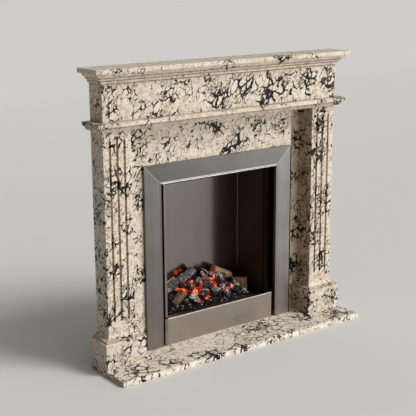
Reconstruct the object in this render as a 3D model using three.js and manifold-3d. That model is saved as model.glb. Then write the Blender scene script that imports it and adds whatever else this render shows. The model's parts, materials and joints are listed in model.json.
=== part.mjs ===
// A marble fireplace mantel with its hearth, a steel trim frame and an inset firebox holding a bed of
// coals and logs. Millimetres, +Z up. The wall is the plane y = 0 of the suite, the room lies on the -Y
// side and +X is to the right. The finished group is shifted so that its origin is the middle of its base.

import * as THREE from 'three';
import { mergeVertices } from 'three/addons/utils/BufferGeometryUtils.js';
import Module from 'manifold-3d';

const wasm = await Module();
wasm.setup();

// Driving dimensions of the stonework
const GAP = 0.3;
const ARRIS = 1.2;
const HEARTH_LENGTH = 1340;
const HEARTH_DEPTH = 262;
const HEARTH_THICK = 25;
const SHELF_LENGTH = 1372;
const SHELF_DEPTH = 148;
const SHELF_THICK = 19;
const TOTAL_HEIGHT = 1283;
const FRIEZE_LENGTH = 1268;
const FRIEZE_DEPTH = 98;
const FRIEZE_HEIGHT = 152;
const CORNICE_HEIGHT = 45;
const CORNICE_OUT = 34;
const BAND_HEIGHT = 41;
const BAND_FASCIA = 17.5;
const BAND_OUT = 40;
const LEG_WIDTH = 134;
const LEG_DEPTH = 93;
const PLINTH_BLOCK_HEIGHT = 114;
const PLINTH_OUT = 33;
const BASE_FLARE_HEIGHT = 33;
const PANEL_THICK = 18;
const PANEL_HALF = 540;
const PANEL_TOP = 1050;
const PANEL_OPENING_HALF = 332;
const PANEL_OPENING_TOP = 784;

// Flutes of the pilasters
const FLUTE_COUNT = 3;
const FLUTE_SPACING = 34.5;
const FLUTE_HALF_WIDTH = 5.5;
const FLUTE_DEPTH = 9;
const FLUTE_TOP_MARGIN = 36;
const FLUTE_FOOT_MARGIN = 46;

// Trim frame, fret and firebox
const FRAME_HALF = 410;
const FRAME_TOP = 852;
const FRAME_FACE = 87;
const FRAME_FRONT = -46;
const FRAME_SHEET = 2.5;
const FRAME_BEAD = 5;
const FRAME_RETURN_BACK = -31;
const FRET_LEFT = -296;
const FRET_RIGHT = 305;
const FRET_TOP = 150;
const FRET_FRONT = -40;
const FRET_ROLL = 4;
const SHEET = 2;
const FIREBOX_HALF = 290;
const FIREBOX_TOP = 757;
const FIREBOX_FRONT = -28;
const FIREBOX_BACK = 203;
const FIREBOX_LIP = 11;
const FIREBOX_FLANGE = 55;
const FIREBOX_FLOOR = 128;

// Fuel bed: the ember mound's middle, half length, front foot, ridge and height
const EMBER_MIDDLE = 15;
const EMBER_HALF = 258;
const EMBER_FRONT = 48;
const EMBER_RIDGE = 172;
const EMBER_HEIGHT = 95;
const EMBER_EDGE = 4;
const EMBER_ARCH = 2.4;
const COAL_LIFT = 0.5;
const COAL_UNEVEN = 0.1;
// Each coal: place across, place in depth, radius
const COALS = [
  [-80, 70, 28], [-12, 77, 27], [53, 73, 30], [116, 66, 23], [172, 77, 25], [219, 68, 15],
  [-65, 112, 24], [-18, 119, 26], [23, 106, 27], [33, 145, 25], [108, 112, 34], [106, 84, 21],
  [200, 122, 22], [186, 106, 19], [62, 176, 23], [100, 172, 20], [88, 145, 22], [-172, 118, 18],
  [-96, 142, 22], [-40, 172, 25], [150, 150, 24], [-118, 68, 17], [147, 88, 19],
];
// Each round log: its two end centres and its radius
const LOG_UNEVEN = 0.05;
const LOGS = {
  log_charred: { from: [-235, 158, 171], to: [-5, 165, 267], radius: 21 },
  log_behind: { from: [-238, 192, 184], to: [-100, 192, 240], radius: 8 },
  log_front: { from: [-168, 98, 150], to: [-112, 97, 200], radius: 20 },
  log_top: { from: [106, 163, 252], to: [207, 167, 199], radius: 22 },
};
const SAWN_BLOCK = { size: [60, 38, 66], place: [240, 112], turn: -37 };

// Levels worked out from the driving dimensions
const PLINTH_TOP = HEARTH_THICK + PLINTH_BLOCK_HEIGHT;
const SHAFT_FOOT = PLINTH_TOP + BASE_FLARE_HEIGHT;
const SHELF_UNDER = TOTAL_HEIGHT - SHELF_THICK;
const FRIEZE_TOP = SHELF_UNDER - CORNICE_HEIGHT;
const FRIEZE_FOOT = FRIEZE_TOP - FRIEZE_HEIGHT;
const BAND_FOOT = FRIEZE_FOOT - BAND_HEIGHT;
const LEG_OUTER = FRIEZE_LENGTH / 2;
const LEG_INNER = LEG_OUTER - LEG_WIDTH;
const LEG_MIDDLE = (LEG_OUTER + LEG_INNER) / 2;

function finish(name, color, roughness, metalness = 0) {
  return new THREE.MeshStandardMaterial({ name, color, roughness, metalness });
}

const marble = finish('marble', 0xddd0ba, 0.35);
const steel = finish('steel', 0x807c79, 0.35, 1);
const darkSteel = finish('dark steel', 0x4a4542, 0.2, 1);
const ember = finish('ember', 0x6a2412, 1);
const coal = finish('coal', 0x3a3a3c, 0.9);
const bark = finish('bark', 0x6b4a32, 0.9);
const char = finish('char', 0x55565a, 0.95);

const suite = new THREE.Group();

function place(name, geometry, material) {
  const mesh = new THREE.Mesh(geometry, material);
  mesh.name = name;
  suite.add(mesh);
  return mesh;
}

// Booleans: a closed geometry becomes a solid, and a solid becomes a geometry again

function toSolid(geometry) {
  const bare = geometry.clone();
  bare.deleteAttribute('normal');
  bare.deleteAttribute('uv');
  const merged = mergeVertices(bare, 1e-3);
  const vertProperties = new Float32Array(merged.attributes.position.array);
  const triVerts = new Uint32Array(merged.index.array);
  return new wasm.Manifold(new wasm.Mesh({ numProp: 3, vertProperties, triVerts }));
}

function toGeometry(solid) {
  const mesh = solid.getMesh();
  const geometry = new THREE.BufferGeometry();
  geometry.setAttribute('position', new THREE.BufferAttribute(mesh.vertProperties, 3));
  geometry.setIndex(new THREE.BufferAttribute(mesh.triVerts, 1));
  geometry.computeVertexNormals();
  return geometry;
}

// Stone courses: a stack of rectangles whose front and two ends follow a profile, with a flat back at
// the wall. Each level of the profile is { out, z }: how far it stands out, and its height, rising.

function course(left, right, depth, levels) {
  const positions = [];
  for (const { out, z } of levels) {
    const front = -depth - out;
    positions.push(left - out, front, z, right + out, front, z, right + out, 0, z, left - out, 0, z);
  }
  const index = [0, 2, 1, 0, 3, 2];
  for (let level = 0; level < levels.length - 1; level += 1) {
    for (let corner = 0; corner < 4; corner += 1) {
      const a = level * 4 + corner;
      const b = level * 4 + ((corner + 1) % 4);
      index.push(a, b, b + 4, a, b + 4, a + 4);
    }
  }
  const top = (levels.length - 1) * 4;
  index.push(top, top + 1, top + 2, top, top + 2, top + 3);
  const geometry = new THREE.BufferGeometry();
  geometry.setAttribute('position', new THREE.Float32BufferAttribute(positions, 3));
  geometry.setIndex(index);
  geometry.computeVertexNormals();
  return geometry;
}

// A quarter-round that swells outwards as it rises: flat at its foot, upright at its head
function ovolo(foot, head, steps = 5) {
  const levels = [];
  for (let step = 0; step <= steps; step += 1) {
    const turn = (step / steps) * (Math.PI / 2);
    levels.push({
      out: foot.out + (head.out - foot.out) * Math.sin(turn),
      z: foot.z + (head.z - foot.z) * (1 - Math.cos(turn)),
    });
  }
  return levels;
}

// A slab with its lower and upper front edges eased by a small chamfer
function slabLevels(foot, head) {
  return [
    { out: -ARRIS, z: foot },
    { out: 0, z: foot + ARRIS },
    { out: 0, z: head - ARRIS },
    { out: -ARRIS, z: head },
  ];
}

function addHearth() {
  const half = HEARTH_LENGTH / 2;
  place('hearth_slab', course(-half, half, HEARTH_DEPTH, slabLevels(0, HEARTH_THICK)), marble);
}

// Plinth: a plain block, a fillet and a hollow flare that runs up into the shaft
function plinthGeometry(side) {
  const FILLET_OUT = 24;
  const FILLET_HEIGHT = 7;
  const FLARE_OUT = 19;
  const LEDGE = 0.8;
  const flareFoot = PLINTH_TOP + FILLET_HEIGHT + LEDGE;
  // the hollow is a quarter-round turned over: flat where it leaves the fillet, upright at the shaft
  const flare = ovolo({ out: FLARE_OUT, z: flareFoot }, { out: 0, z: SHAFT_FOOT - GAP });
  const levels = [
    { out: PLINTH_OUT, z: HEARTH_THICK + GAP },
    { out: PLINTH_OUT, z: PLINTH_TOP - 2 * ARRIS },
    { out: PLINTH_OUT - 2 * ARRIS, z: PLINTH_TOP },
    { out: FILLET_OUT, z: PLINTH_TOP + LEDGE },
    { out: FILLET_OUT, z: PLINTH_TOP + FILLET_HEIGHT },
    ...flare,
  ];
  const left = side < 0 ? -LEG_OUTER : LEG_INNER;
  return course(left, left + LEG_WIDTH, LEG_DEPTH, levels);
}

function addPlinths() {
  place('plinth_left', plinthGeometry(-1), marble);
  place('plinth_right', plinthGeometry(1), marble);
}

// Pilaster shaft with stopped flutes: hollows with round ends, cut into the front face
function pilasterGeometry(side) {
  const height = BAND_FOOT - GAP - SHAFT_FOOT;
  const shaft = new THREE.BoxGeometry(LEG_WIDTH, LEG_DEPTH, height);
  shaft.translate(side * LEG_MIDDLE, -LEG_DEPTH / 2, SHAFT_FOOT + height / 2);
  const fluteFoot = SHAFT_FOOT + FLUTE_FOOT_MARGIN;
  const fluteHead = BAND_FOOT - FLUTE_TOP_MARGIN;
  const straight = fluteHead - fluteFoot - 2 * FLUTE_HALF_WIDTH;
  let solid = toSolid(shaft);
  for (let flute = 0; flute < FLUTE_COUNT; flute += 1) {
    const across = (flute - (FLUTE_COUNT - 1) / 2) * FLUTE_SPACING;
    const hollow = new THREE.CapsuleGeometry(FLUTE_HALF_WIDTH, straight, 4, 16);
    hollow.rotateX(Math.PI / 2);
    hollow.scale(1, FLUTE_DEPTH / FLUTE_HALF_WIDTH, 1);
    hollow.translate(side * LEG_MIDDLE + across, -LEG_DEPTH, (fluteFoot + fluteHead) / 2);
    solid = solid.subtract(toSolid(hollow));
  }
  return toGeometry(solid);
}

function addPilasters() {
  place('pilaster_left', pilasterGeometry(-1), marble);
  place('pilaster_right', pilasterGeometry(1), marble);
}

// Back panel: one slab that stands on the floor behind the legs and the hearth, cut out round the fire
function addBackPanel() {
  const outline = new THREE.Shape();
  outline.moveTo(-PANEL_HALF, 0);
  outline.lineTo(-PANEL_OPENING_HALF, 0);
  outline.lineTo(-PANEL_OPENING_HALF, PANEL_OPENING_TOP);
  outline.lineTo(PANEL_OPENING_HALF, PANEL_OPENING_TOP);
  outline.lineTo(PANEL_OPENING_HALF, 0);
  outline.lineTo(PANEL_HALF, 0);
  outline.lineTo(PANEL_HALF, PANEL_TOP);
  outline.lineTo(-PANEL_HALF, PANEL_TOP);
  outline.closePath();
  const slab = new THREE.ExtrudeGeometry(outline, { depth: PANEL_THICK, bevelEnabled: false });
  slab.rotateX(Math.PI / 2);
  slab.translate(0, PANEL_THICK + GAP, 0);
  place('back_panel', slab, marble);
}

// Moulded band between the legs and the frieze: a small swelling curve, a set-back strip, then the fascia
function addBand() {
  const CURVE_FOOT_OUT = 6;
  const CURVE_HEAD_OUT = 24;
  const STRIP_OUT = 27;
  const STRIP_HEIGHT = 10;
  const LEDGE = 0.8;
  const fasciaFoot = FRIEZE_FOOT - BAND_FASCIA;
  const stripFoot = fasciaFoot - STRIP_HEIGHT - LEDGE;
  const levels = [
    { out: 0, z: BAND_FOOT },
    { out: 0, z: BAND_FOOT + LEDGE },
    ...ovolo({ out: CURVE_FOOT_OUT, z: BAND_FOOT + 2 * LEDGE }, { out: CURVE_HEAD_OUT, z: stripFoot }),
    { out: STRIP_OUT, z: stripFoot + LEDGE },
    { out: STRIP_OUT, z: fasciaFoot - LEDGE },
    ...slabLevels(fasciaFoot, FRIEZE_FOOT - GAP).map(({ out, z }) => ({ out: out + BAND_OUT, z })),
  ];
  place('moulded_band', course(-LEG_OUTER, LEG_OUTER, LEG_DEPTH, levels), marble);
}

function addFrieze() {
  const levels = [
    { out: 0, z: FRIEZE_FOOT },
    { out: 0, z: FRIEZE_TOP - GAP },
  ];
  place('frieze_block', course(-LEG_OUTER, LEG_OUTER, FRIEZE_DEPTH, levels), marble);
}

// Cornice under the shelf: a plain fillet, a small reed and a larger quarter-round, parted by quirks
function addCornice() {
  const FILLET_OUT = 9;
  const FILLET_FOOT = 3;
  const FILLET_HEAD = 12;
  const REED_OUT = 19;
  const REED_HEAD = 24;
  const QUIRK = 1.5;
  const at = (out, rise) => ({ out, z: FRIEZE_TOP + rise });
  const levels = [
    at(1, 0),
    at(1, FILLET_FOOT - 1),
    at(FILLET_OUT, FILLET_FOOT),
    at(FILLET_OUT, FILLET_HEAD),
    at(FILLET_OUT - QUIRK, FILLET_HEAD + QUIRK),
    ...ovolo(at(FILLET_OUT + 1, FILLET_HEAD + 2 * QUIRK), at(REED_OUT, REED_HEAD)),
    at(REED_OUT - QUIRK, REED_HEAD + QUIRK),
    ...ovolo(at(REED_OUT + 1, REED_HEAD + 2 * QUIRK), at(CORNICE_OUT, CORNICE_HEIGHT - QUIRK), 7),
    at(CORNICE_OUT, CORNICE_HEIGHT - GAP),
  ];
  place('cornice_moulding', course(-LEG_OUTER, LEG_OUTER, FRIEZE_DEPTH, levels), marble);
}

function addShelf() {
  const half = SHELF_LENGTH / 2;
  place('mantel_shelf', course(-half, half, SHELF_DEPTH, slabLevels(SHELF_UNDER, TOTAL_HEIGHT)), marble);
}

// Trim frame: a folded sheet section with a raised bead at its inner edge, mitred at the two top corners.
// The section's x runs inwards from the outer edge, times the side it is drawn for; y is depth.
function frameSection(side) {
  const inside = FRAME_FRONT + FRAME_SHEET;
  const BEAD_PROUD = 2;
  const beadMiddle = FRAME_FACE - FRAME_BEAD;
  const beadDepth = FRAME_FRONT + FRAME_BEAD - BEAD_PROUD;
  const points = [
    [0, FRAME_RETURN_BACK],
    [0, FRAME_FRONT + ARRIS],
    [ARRIS, FRAME_FRONT],
    [beadMiddle - FRAME_BEAD, FRAME_FRONT],
  ];
  const BEAD_STEPS = 6;
  const BEAD_START = 0.85 * Math.PI;
  for (let step = 1; step <= BEAD_STEPS; step += 1) {
    const turn = BEAD_START * (1 - step / BEAD_STEPS);
    points.push([beadMiddle + FRAME_BEAD * Math.cos(turn), beadDepth - FRAME_BEAD * Math.sin(turn)]);
  }
  points.push(
    [FRAME_FACE, FRAME_RETURN_BACK],
    [FRAME_FACE - FRAME_SHEET, FRAME_RETURN_BACK],
    [FRAME_FACE - FRAME_SHEET, inside + FRAME_SHEET],
    [beadMiddle - FRAME_BEAD, inside],
    [FRAME_SHEET, inside],
    [FRAME_SHEET, FRAME_RETURN_BACK],
  );
  return new THREE.Shape(points.map(([across, depth]) => new THREE.Vector2(side * across, depth)));
}

// A length of that section along +Z, each end cut square or on the mitre
function mitredLength(side, length, mitreStart, mitreEnd) {
  const bar = new THREE.ExtrudeGeometry(frameSection(side), { depth: length, bevelEnabled: false });
  const spots = bar.attributes.position;
  for (let spot = 0; spot < spots.count; spot += 1) {
    const across = Math.abs(spots.getX(spot));
    const atEnd = spots.getZ(spot) > length / 2;
    const shift = atEnd ? -mitreEnd * across : mitreStart * across;
    spots.setZ(spot, spots.getZ(spot) + shift);
  }
  bar.computeVertexNormals();
  return bar;
}

function addFrame() {
  const foot = HEARTH_THICK + GAP;
  for (const [name, side] of [['frame_stile_left', -1], ['frame_stile_right', 1]]) {
    const stile = mitredLength(-side, FRAME_TOP - GAP - foot, 0, 1);
    stile.translate(side * FRAME_HALF, 0, foot);
    place(name, stile, steel);
  }
  // the head rail is the same bar laid along +X with its outer edge uppermost
  const rail = mitredLength(1, 2 * (FRAME_HALF - GAP), 1, 1);
  const lay = new THREE.Matrix4().makeBasis(
    new THREE.Vector3(0, 0, -1),
    new THREE.Vector3(0, 1, 0),
    new THREE.Vector3(1, 0, 0),
  );
  rail.applyMatrix4(lay);
  rail.translate(-FRAME_HALF + GAP, 0, FRAME_TOP);
  place('frame_head_rail', rail, steel);
}

// An outline in depth and height, carried along X about the middle
function alongX(points, length) {
  const outline = new THREE.Shape(points.map(([depth, height]) => new THREE.Vector2(depth, height)));
  const bar = new THREE.ExtrudeGeometry(outline, { depth: length, bevelEnabled: false });
  const lay = new THREE.Matrix4().makeBasis(
    new THREE.Vector3(0, 1, 0),
    new THREE.Vector3(0, 0, 1),
    new THREE.Vector3(1, 0, 0),
  );
  bar.applyMatrix4(lay);
  bar.translate(-length / 2, 0, 0);
  return bar;
}

// Fret: an upright sheet on the hearth whose top edge is rolled back over a round lip
function addFret() {
  const foot = HEARTH_THICK + GAP;
  const rollHeight = FRET_TOP - FRET_ROLL;
  const points = [[FRET_FRONT, foot]];
  const ROLL_STEPS = 8;
  const ROLL_START = 1.1 * Math.PI;
  const ROLL_TURN = 1.35 * Math.PI;
  const ROLL_PROUD = 1;
  for (let step = 0; step <= ROLL_STEPS; step += 1) {
    const turn = ROLL_START - (ROLL_TURN * step) / ROLL_STEPS;
    const depth = FRET_FRONT + FRET_ROLL - ROLL_PROUD + FRET_ROLL * Math.cos(turn);
    points.push([depth, rollHeight + FRET_ROLL * Math.sin(turn)]);
  }
  points.push([FRET_FRONT + SHEET, rollHeight - FRET_ROLL], [FRET_FRONT + SHEET, foot]);
  const sheet = alongX(points, FRET_RIGHT - FRET_LEFT);
  sheet.translate((FRET_LEFT + FRET_RIGHT) / 2, 0, 0);
  place('fret_panel', sheet, steel);
}

// Firebox sheet in section: a wall, a raised lip at the mouth, and a flange that covers the edge of the
// stone behind the frame. The first number is how far out from the inner face, the second is depth. The
// right side has no lip, and its wall turns straight into the flange.
function fireboxSection(hasLip) {
  const wallBack = FIREBOX_BACK - GAP;
  const lipOuter = [
    [0, FIREBOX_FRONT],
    [FIREBOX_LIP, FIREBOX_FRONT],
    [FIREBOX_LIP, -SHEET],
  ];
  const lipInner = [
    [FIREBOX_LIP - SHEET, 0],
    [FIREBOX_LIP - SHEET, FIREBOX_FRONT + SHEET],
    [SHEET, FIREBOX_FRONT + SHEET],
  ];
  return [
    [0, wallBack],
    ...(hasLip ? lipOuter : [[0, -SHEET]]),
    [FIREBOX_FLANGE, -SHEET],
    [FIREBOX_FLANGE, 0],
    ...(hasLip ? lipInner : [[SHEET, 0]]),
    [SHEET, wallBack],
  ];
}

function addFirebox() {
  const foot = HEARTH_THICK + GAP;
  const height = PANEL_OPENING_TOP - GAP - foot;
  for (const [name, side] of [['firebox_side_left', -1], ['firebox_side_right', 1]]) {
    const corner = ([out, depth]) => new THREE.Vector2(side * (FIREBOX_HALF + out), depth);
    const outline = new THREE.Shape(fireboxSection(side < 0).map(corner));
    const wall = new THREE.ExtrudeGeometry(outline, { depth: height, bevelEnabled: false });
    wall.translate(0, 0, foot);
    place(name, wall, darkSteel);
  }
  const lid = fireboxSection(true).map(([out, depth]) => [depth, FIREBOX_TOP + out]);
  place('firebox_top', alongX(lid, 2 * (FIREBOX_HALF - GAP)), darkSteel);
  const floorDepth = FIREBOX_BACK - GAP - FIREBOX_FRONT;
  const floorSheet = new THREE.BoxGeometry(2 * (FIREBOX_HALF - GAP), floorDepth, SHEET);
  floorSheet.translate(0, FIREBOX_FRONT + floorDepth / 2, FIREBOX_FLOOR - SHEET / 2);
  place('firebox_floor', floorSheet, darkSteel);
  const backSheet = new THREE.BoxGeometry(2 * (FIREBOX_HALF + SHEET), SHEET, height);
  backSheet.translate(0, FIREBOX_BACK + SHEET / 2, foot + height / 2);
  place('firebox_back', backSheet, darkSteel);
}

// The ember mound's surface: an arch across, and a quarter sine from its front foot up to the ridge
function emberHeight(across, depth) {
  const span = Math.min(1, Math.abs(across - EMBER_MIDDLE) / EMBER_HALF);
  const rise = Math.min(1, Math.max(0, (depth - EMBER_FRONT) / (EMBER_RIDGE - EMBER_FRONT)));
  const arch = 1 - span ** EMBER_ARCH;
  return FIREBOX_FLOOR + GAP + EMBER_EDGE + EMBER_HEIGHT * arch * Math.sin((rise * Math.PI) / 2);
}

// A closed block over that surface: a plane's grid raised to it, and the same grid turned over for the base
function emberGeometry() {
  const COLUMNS = 18;
  const ROWS = 7;
  const depth = FIREBOX_BACK - SHEET - EMBER_FRONT;
  const block = new THREE.BoxGeometry(2 * EMBER_HALF, depth, 1, COLUMNS, ROWS, 1);
  block.translate(EMBER_MIDDLE, EMBER_FRONT + depth / 2, 0);
  const spots = block.attributes.position;
  for (let spot = 0; spot < spots.count; spot += 1) {
    const upper = spots.getZ(spot) > 0;
    const height = upper ? emberHeight(spots.getX(spot), spots.getY(spot)) : FIREBOX_FLOOR + GAP;
    spots.setZ(spot, height);
  }
  return block;
}

// A round log between two end centres, its rim uneven by a slow wave; swell enlarges it for cutting
function logGeometry({ from, to, radius }, swell = 0) {
  const SIDES = 11;
  const start = new THREE.Vector3(...from);
  const axis = new THREE.Vector3(...to).sub(start);
  const length = axis.length();
  const log = new THREE.CylinderGeometry(radius + swell, radius + swell, length + 2 * swell, SIDES, 2);
  const spots = log.attributes.position;
  for (let spot = 0; spot < spots.count; spot += 1) {
    const turn = Math.atan2(spots.getZ(spot), spots.getX(spot));
    const uneven = 1 + LOG_UNEVEN * (Math.sin(3 * turn + radius) + Math.sin(spots.getY(spot) / radius));
    spots.setX(spot, spots.getX(spot) * uneven);
    spots.setZ(spot, spots.getZ(spot) * uneven);
  }
  const upright = new THREE.Vector3(0, 1, 0);
  const turned = new THREE.Quaternion().setFromUnitVectors(upright, axis.clone().normalize());
  log.applyQuaternion(turned);
  const middle = start.addScaledVector(axis, 0.5);
  log.translate(middle.x, middle.y, middle.z);
  return log;
}

function sawnBlockGeometry(swell = 0) {
  const [width, depth, height] = SAWN_BLOCK.size;
  const block = new THREE.BoxGeometry(width + 2 * swell, depth + 2 * swell, height + 2 * swell);
  block.rotateZ(THREE.MathUtils.degToRad(SAWN_BLOCK.turn));
  block.translate(...SAWN_BLOCK.place, FIREBOX_FLOOR + GAP + height / 2);
  return block;
}

function coalCentre([across, depth, radius]) {
  return new THREE.Vector3(across, depth, emberHeight(across, depth) + COAL_LIFT * radius);
}

// A lump of coal: a ball of flat facets, its corners pulled in and out by sines of their direction
function coalGeometry(lump, swell = 0) {
  const [across, depth, radius] = lump;
  const ball = new THREE.IcosahedronGeometry(1, 1);
  const spots = ball.attributes.position;
  const seed = (across + depth) / radius;
  for (let spot = 0; spot < spots.count; spot += 1) {
    const x = spots.getX(spot);
    const y = spots.getY(spot);
    const z = spots.getZ(spot);
    const pull = Math.sin(4 * x + seed) + Math.sin(5 * y - 2 * seed) + Math.sin(4 * z + 3 * seed);
    const reach = radius * (1 + COAL_UNEVEN * pull) + swell;
    spots.setXYZ(spot, x * reach, y * reach, z * reach);
  }
  const centre = coalCentre(lump);
  ball.translate(centre.x, centre.y, centre.z);
  return ball;
}

// Where two coals meet, each is cut back to the plane between them
function cutFromNeighbours(solid, lump, margin) {
  const centre = coalCentre(lump);
  let cut = solid;
  for (const other of COALS) {
    if (other === lump) {
      continue;
    }
    const toOther = coalCentre(other).sub(centre);
    const distance = toOther.length();
    const share = (distance ** 2 + lump[2] ** 2 - other[2] ** 2) / (2 * distance);
    const outward = toOther.divideScalar(distance);
    const reach = outward.dot(centre) + share - margin;
    cut = cut.trimByPlane([-outward.x, -outward.y, -outward.z], -reach);
  }
  return cut;
}

function addFuelBed() {
  const woods = Object.values(LOGS);
  let timber = toSolid(sawnBlockGeometry(GAP));
  for (const log of woods) {
    timber = timber.add(toSolid(logGeometry(log, GAP)));
  }
  let bed = toSolid(emberGeometry()).subtract(timber);
  COALS.forEach((lump, number) => {
    const shaped = cutFromNeighbours(toSolid(coalGeometry(lump)), lump, GAP / 2).subtract(timber);
    const socket = cutFromNeighbours(toSolid(coalGeometry(lump, 2 * GAP)), lump, -GAP);
    bed = bed.subtract(socket);
    place(`coal_${String(number + 1).padStart(2, '0')}`, toGeometry(shaped), coal);
  });
  place('ember_bed', toGeometry(bed), ember);
  for (const [name, log] of Object.entries(LOGS)) {
    place(name, logGeometry(log), name === 'log_charred' ? char : bark);
  }
  place('log_sawn_block', sawnBlockGeometry(), bark);
}

addHearth();
addPlinths();
addPilasters();
addBackPanel();
addBand();
addFrieze();
addCornice();
addShelf();
addFrame();
addFret();
addFirebox();
addFuelBed();

// The origin is the middle of the base, between the hearth's front edge and the firebox's back
suite.position.y = (HEARTH_DEPTH - FIREBOX_BACK - SHEET) / 2;

export default suite;
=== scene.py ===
# %% [markdown]
# # A marble fireplace mantel
# This lesson dresses a fireplace: a veined marble surround on its hearth, a steel trim frame, and an inset
# firebox with a heap of glowing coals and logs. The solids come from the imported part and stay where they
# are. Finer surfaces are worked out with numpy and take the place of a solid one by one.

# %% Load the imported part
import json
import math

import bpy
import numpy as np
from mathutils import Matrix

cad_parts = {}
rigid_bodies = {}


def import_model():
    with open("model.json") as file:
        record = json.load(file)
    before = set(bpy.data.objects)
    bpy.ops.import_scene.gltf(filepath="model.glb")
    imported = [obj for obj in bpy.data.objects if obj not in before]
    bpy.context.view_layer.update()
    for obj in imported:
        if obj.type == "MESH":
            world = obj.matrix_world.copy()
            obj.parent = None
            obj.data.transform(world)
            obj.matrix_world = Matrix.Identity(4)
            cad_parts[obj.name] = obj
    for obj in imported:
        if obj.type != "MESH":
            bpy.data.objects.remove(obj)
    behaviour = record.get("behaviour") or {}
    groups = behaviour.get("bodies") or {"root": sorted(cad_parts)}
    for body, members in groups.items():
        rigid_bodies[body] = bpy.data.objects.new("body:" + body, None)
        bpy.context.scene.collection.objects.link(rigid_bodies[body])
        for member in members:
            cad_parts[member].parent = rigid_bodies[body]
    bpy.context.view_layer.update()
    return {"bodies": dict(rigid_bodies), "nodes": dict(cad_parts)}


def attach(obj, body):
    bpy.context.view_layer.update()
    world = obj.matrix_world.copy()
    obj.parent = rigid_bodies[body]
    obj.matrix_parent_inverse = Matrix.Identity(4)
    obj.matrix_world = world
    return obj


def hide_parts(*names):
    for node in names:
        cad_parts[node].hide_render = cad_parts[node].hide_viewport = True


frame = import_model()
BODY = list(frame["bodies"])[0]

# %% [markdown]
# ## Camera
# The photograph was taken with a long lens from the left, a little above the shelf. The place, turn and
# focal length were worked out from the corners of the slabs, so the camera is set once and left alone.

# %% Camera
CAMERA_PLACE = (-2.5977, -3.3951, 1.6798)
CAMERA_TURN_DEG = -36.75
CAMERA_TILT_DEG = 75.94
CAMERA_ROLL_DEG = -0.33
LENS_MM = 84.44

camera_data = bpy.data.cameras.new("photo_camera")
camera_data.sensor_width = 36.0
camera_data.sensor_fit = "HORIZONTAL"
camera_data.lens = LENS_MM
camera_data.clip_end = 400.0
camera = bpy.data.objects.new("photo_camera", camera_data)
bpy.context.collection.objects.link(camera)
turn = Matrix.Rotation(math.radians(CAMERA_TURN_DEG), 4, "Z")
tilt = Matrix.Rotation(math.radians(CAMERA_TILT_DEG), 4, "X")
roll = Matrix.Rotation(math.radians(CAMERA_ROLL_DEG), 4, "Z")
camera.matrix_world = Matrix.Translation(CAMERA_PLACE) @ turn @ tilt @ roll
bpy.context.scene.camera = camera
print("camera", LENS_MM, "mm lens")

# %% [markdown]
# ## Small helpers
# A few helpers serve the whole lesson. One turns the hex colour of a paint chart into the linear numbers that
# a renderer adds up, and one adds a shader node with its settings and links. The short ones after it name the
# nodes that come up most. The last ones join the rows of a grid into faces, and start, end and lay a material.

# %% Helpers
def linear(code):
    """An sRGB hex colour as linear RGBA: each channel through the sRGB curve, with full alpha."""
    channels = np.array([int(code[i:i + 2], 16) for i in (1, 3, 5)]) / 255.0
    curved = np.where(channels <= 0.04045, channels / 12.92, ((channels + 0.055) / 1.055) ** 2.4)
    return (*curved.tolist(), 1.0)


def add(tree, kind, links=None, **settings):
    """Adds one node: settings are its properties, links its sockets, each a value or another node's output."""
    made = tree.nodes.new(kind)
    for key, value in settings.items():
        setattr(made, key, value)
    for socket, value in (links or {}).items():
        if isinstance(value, bpy.types.NodeSocket):
            tree.links.new(value, made.inputs[socket])
        else:
            made.inputs[socket].default_value = value
    return made


def ranged(tree, value, low, high, to_low, to_high, **settings):
    """A value carried from the range low to high onto the range to_low to to_high."""
    links = {0: value, 1: low, 2: high, 3: to_low, 4: to_high}
    return add(tree, "ShaderNodeMapRange", links, **settings).outputs[0]


def reckon(tree, operation, *values):
    """One step of arithmetic on one, two or three values."""
    return add(tree, "ShaderNodeMath", dict(enumerate(values)), operation=operation).outputs[0]


def blend(tree, share, first, second):
    """A mix of two colours, with the share of the second."""
    return add(tree, "ShaderNodeMix", {0: share, 6: first, 7: second}, data_type="RGBA").outputs[2]


def noise(tree, place, wave_m, detail, roughness=0.5):
    """Cloudy noise from 0 to 1 whose largest waves have the given length in metres."""
    links = {"Vector": place, "Scale": 1.0 / wave_m, "Detail": detail, "Roughness": roughness}
    return add(tree, "ShaderNodeTexNoise", links).outputs["Fac"]


def edge_distance(tree, place, size_m):
    """Distance to the nearest edge in a net of irregular cells, as a share of the cell size in metres."""
    links = {"Vector": place, "Scale": 1.0 / size_m}
    return add(tree, "ShaderNodeTexVoronoi", links, feature="DISTANCE_TO_EDGE").outputs["Distance"]


def ramp(tree, value, *stops):
    """A colour for each value: every stop is a place from 0 to 1 and a hex colour."""
    made = add(tree, "ShaderNodeValToRGB", {"Fac": value})
    elements = made.color_ramp.elements
    for element, (spot, code) in zip(elements[:], (stops[0], stops[-1])):
        element.position = spot
        element.color = linear(code)
    for spot, code in stops[1:-1]:
        elements.new(spot).color = linear(code)
    return made.outputs["Color"]


def carried(tree, name):
    """The number that each point of the piece carries under this name."""
    return add(tree, "ShaderNodeAttribute", attribute_name=name).outputs["Fac"]


def grid_quads(rows, columns, closed=False):
    """Faces of a grid whose points run row by row; closed joins each row's end to its start."""
    across = np.arange(columns if closed else columns - 1)
    first = (np.arange(rows - 1) * columns)[:, None] + across
    second = (np.arange(rows - 1) * columns)[:, None] + (across + 1) % columns
    return np.stack([first, second, second + columns, first + columns], -1).reshape(-1, 4)


def tube(rows, columns):
    """Faces of closed rings stacked row on row, with a flat face at the first ring and one at the last."""
    faces = grid_quads(rows, columns, closed=True).tolist()
    faces.append(np.arange(columns)[::-1].tolist())
    faces.append((np.arange(columns) + (rows - 1) * columns).tolist())
    return faces


def blank_material(name):
    """A named material with an empty node tree."""
    material = bpy.data.materials.new(name)
    material.use_nodes = True
    material.node_tree.nodes.clear()
    return material, material.node_tree


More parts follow.
